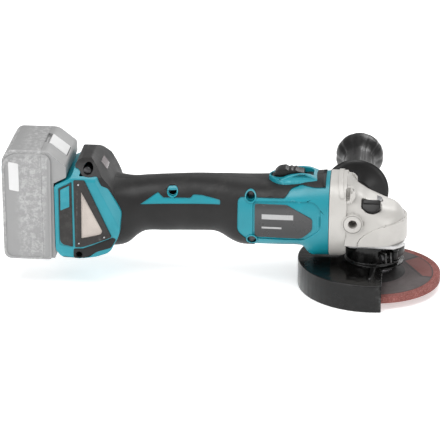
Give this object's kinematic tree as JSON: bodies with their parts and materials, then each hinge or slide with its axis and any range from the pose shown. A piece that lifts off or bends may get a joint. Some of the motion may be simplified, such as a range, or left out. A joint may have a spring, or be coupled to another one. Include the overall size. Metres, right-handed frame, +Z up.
{
  "type": "angle grinder",
  "caption": "Battery angle grinder with a bevel gear head, a turning guard, a depressed-centre disc, a side handle, a slide switch, a shaft lock and a slide-on battery.",
  "frame": {"origin": "on the spindle axis, at the face of the inner flange that the disc seats on", "axes": "+X along the tool towards the nose of the gear head, +Y towards the side handle, +Z up along the spindle; the disc faces -Z"},
  "size_m": [0.3975, 0.2255, 0.1326],
  "materials": {
    "housing_teal": "fine moulded grain",
    "grip_rubber": "soft matte overmould",
    "black_plastic": "moulded nylon",
    "nameplate_grey": "satin plate",
    "indicator_lens": "smoked lens",
    "mesh_grey": "woven dust screen",
    "screw_black": "black oxide",
    "cast_aluminium": "bead blasted casting",
    "machined_steel": "turned",
    "gear_steel": "cut and hardened",
    "bearing_steel": "ground",
    "guard_black": "gloss black paint",
    "zinc_steel": "zinc plated",
    "abrasive_brown": "bonded grit",
    "label_paper": "printed paper disc",
    "flange_steel": "black oxide",
    "copper_coil": "varnished copper",
    "lamination": "stacked sheet",
    "handle_black": "moulded grip",
    "battery_grey": "pale moulded case",
    "battery_light": "pale moulded button",
    "cell_wrap": "wrapped cells",
    "circuit_green": "potted board",
    "brass_contact": "plated blades"
  },
  "bodies": {
    "tool": {"housing_left": "housing_teal", "housing_right": "housing_teal", "grip_overmould_left": "grip_rubber", "grip_overmould_right": "grip_rubber", "dust_cover_left": "black_plastic", "dust_cover_right": "black_plastic", "intake_mesh_left": "mesh_grey", "intake_mesh_right": "mesh_grey", "housing_screws": "screw_black", "nameplate_left": "nameplate_grey", "nameplate_right": "nameplate_grey", "indicator_window": "indicator_lens", "controller": "circuit_green", "trigger_switch": "black_plastic", "terminal_block": "black_plastic", "terminal_blades": "brass_contact", "stator_core": "lamination", "stator_coils": "copper_coil", "fan_baffle": "black_plastic", "rear_bearing": "bearing_steel", "rear_bearing_holder": "black_plastic", "front_bearing": "bearing_steel", "gear_housing": "cast_aluminium", "gear_housing_screws": "screw_black", "bearing_box": "cast_aluminium", "bearing_box_screws": "screw_black", "spindle_bearing": "bearing_steel", "needle_bearing": "bearing_steel", "shaft_lock_spring": "machined_steel"},
    "output_spindle": {"spindle": "machined_steel", "bevel_gear": "gear_steel", "inner_flange": "flange_steel", "grinding_disc": "abrasive_brown", "disc_label": "label_paper", "lock_nut": "flange_steel"},
    "rotor": {"rotor_shaft": "machined_steel", "rotor_core": "lamination", "cooling_fan": "black_plastic", "pinion": "gear_steel"},
    "switch_slider": {"slide_switch": "black_plastic", "switch_rod": "machined_steel"},
    "shaft_lock": {"shaft_lock_button": "black_plastic", "shaft_lock_pin": "machined_steel"},
    "guard": {"wheel_guard": "guard_black", "guard_clamp_band": "guard_black", "clamp_bolt": "zinc_steel", "clamp_pin": "zinc_steel"},
    "guard_lever": {"clamp_lever": "guard_black"},
    "battery": {"battery_case": "battery_grey", "battery_lid": "battery_grey", "battery_cells": "cell_wrap"},
    "release_button": {"battery_release_button": "battery_light"},
    "side_handle": {"side_grip": "handle_black", "side_handle_stud": "machined_steel"}
  },
  "joints": [
    {"name": "spindle_spin", "type": "hinge", "parent": "tool", "child": "output_spindle", "pos_m": [0, 0, 0], "axis": [0, 0, 1], "continuous": true},
    {"name": "rotor_spin", "type": "hinge", "parent": "tool", "child": "rotor", "pos_m": [-0.08, 0, 0.052], "axis": [1, 0, 0], "continuous": true},
    {"name": "switch_slide", "type": "slide", "parent": "tool", "child": "switch_slider", "axis": [1, 0, 0], "range_m": [0, 0.008]},
    {"name": "shaft_lock_press", "type": "slide", "parent": "tool", "child": "shaft_lock", "axis": [0, 0.8192, -0.5736], "range_m": [0, 0.0045], "stiffness_N_per_m": 900, "springref_m": -0.001, "deforming": ["shaft_lock_spring"]},
    {"name": "guard_turn", "type": "hinge", "parent": "tool", "child": "guard", "pos_m": [0, 0, 0.013], "axis": [0, 0, 1], "range_deg": [-90, 90]},
    {"name": "clamp_lever_open", "type": "hinge", "parent": "guard", "child": "guard_lever", "pos_m": [0.02008, -0.02008, 0.013], "axis": [0, 0, -1], "range_deg": [0, 80]},
    {"name": "battery_slide", "type": "slide", "parent": "tool", "child": "battery", "axis": [0, 0, 1], "range_m": [0, 0.068]},
    {"name": "release_button_slide", "type": "slide", "parent": "battery", "child": "release_button", "axis": [-0.8552, 0, 0.5183], "range_m": [0, 0.005], "stiffness_N_per_m": 500, "springref_m": -0.001},
    {"name": "side_handle_screw", "type": "hinge", "parent": "tool", "child": "side_handle", "pos_m": [-0.018, 0.09, 0.053], "axis": [0, 1, 0], "continuous": true}
  ],
  "couplings": [
    {"joint": "rotor_spin", "follows": "spindle_spin", "ratio": -3.3636}
  ]
}
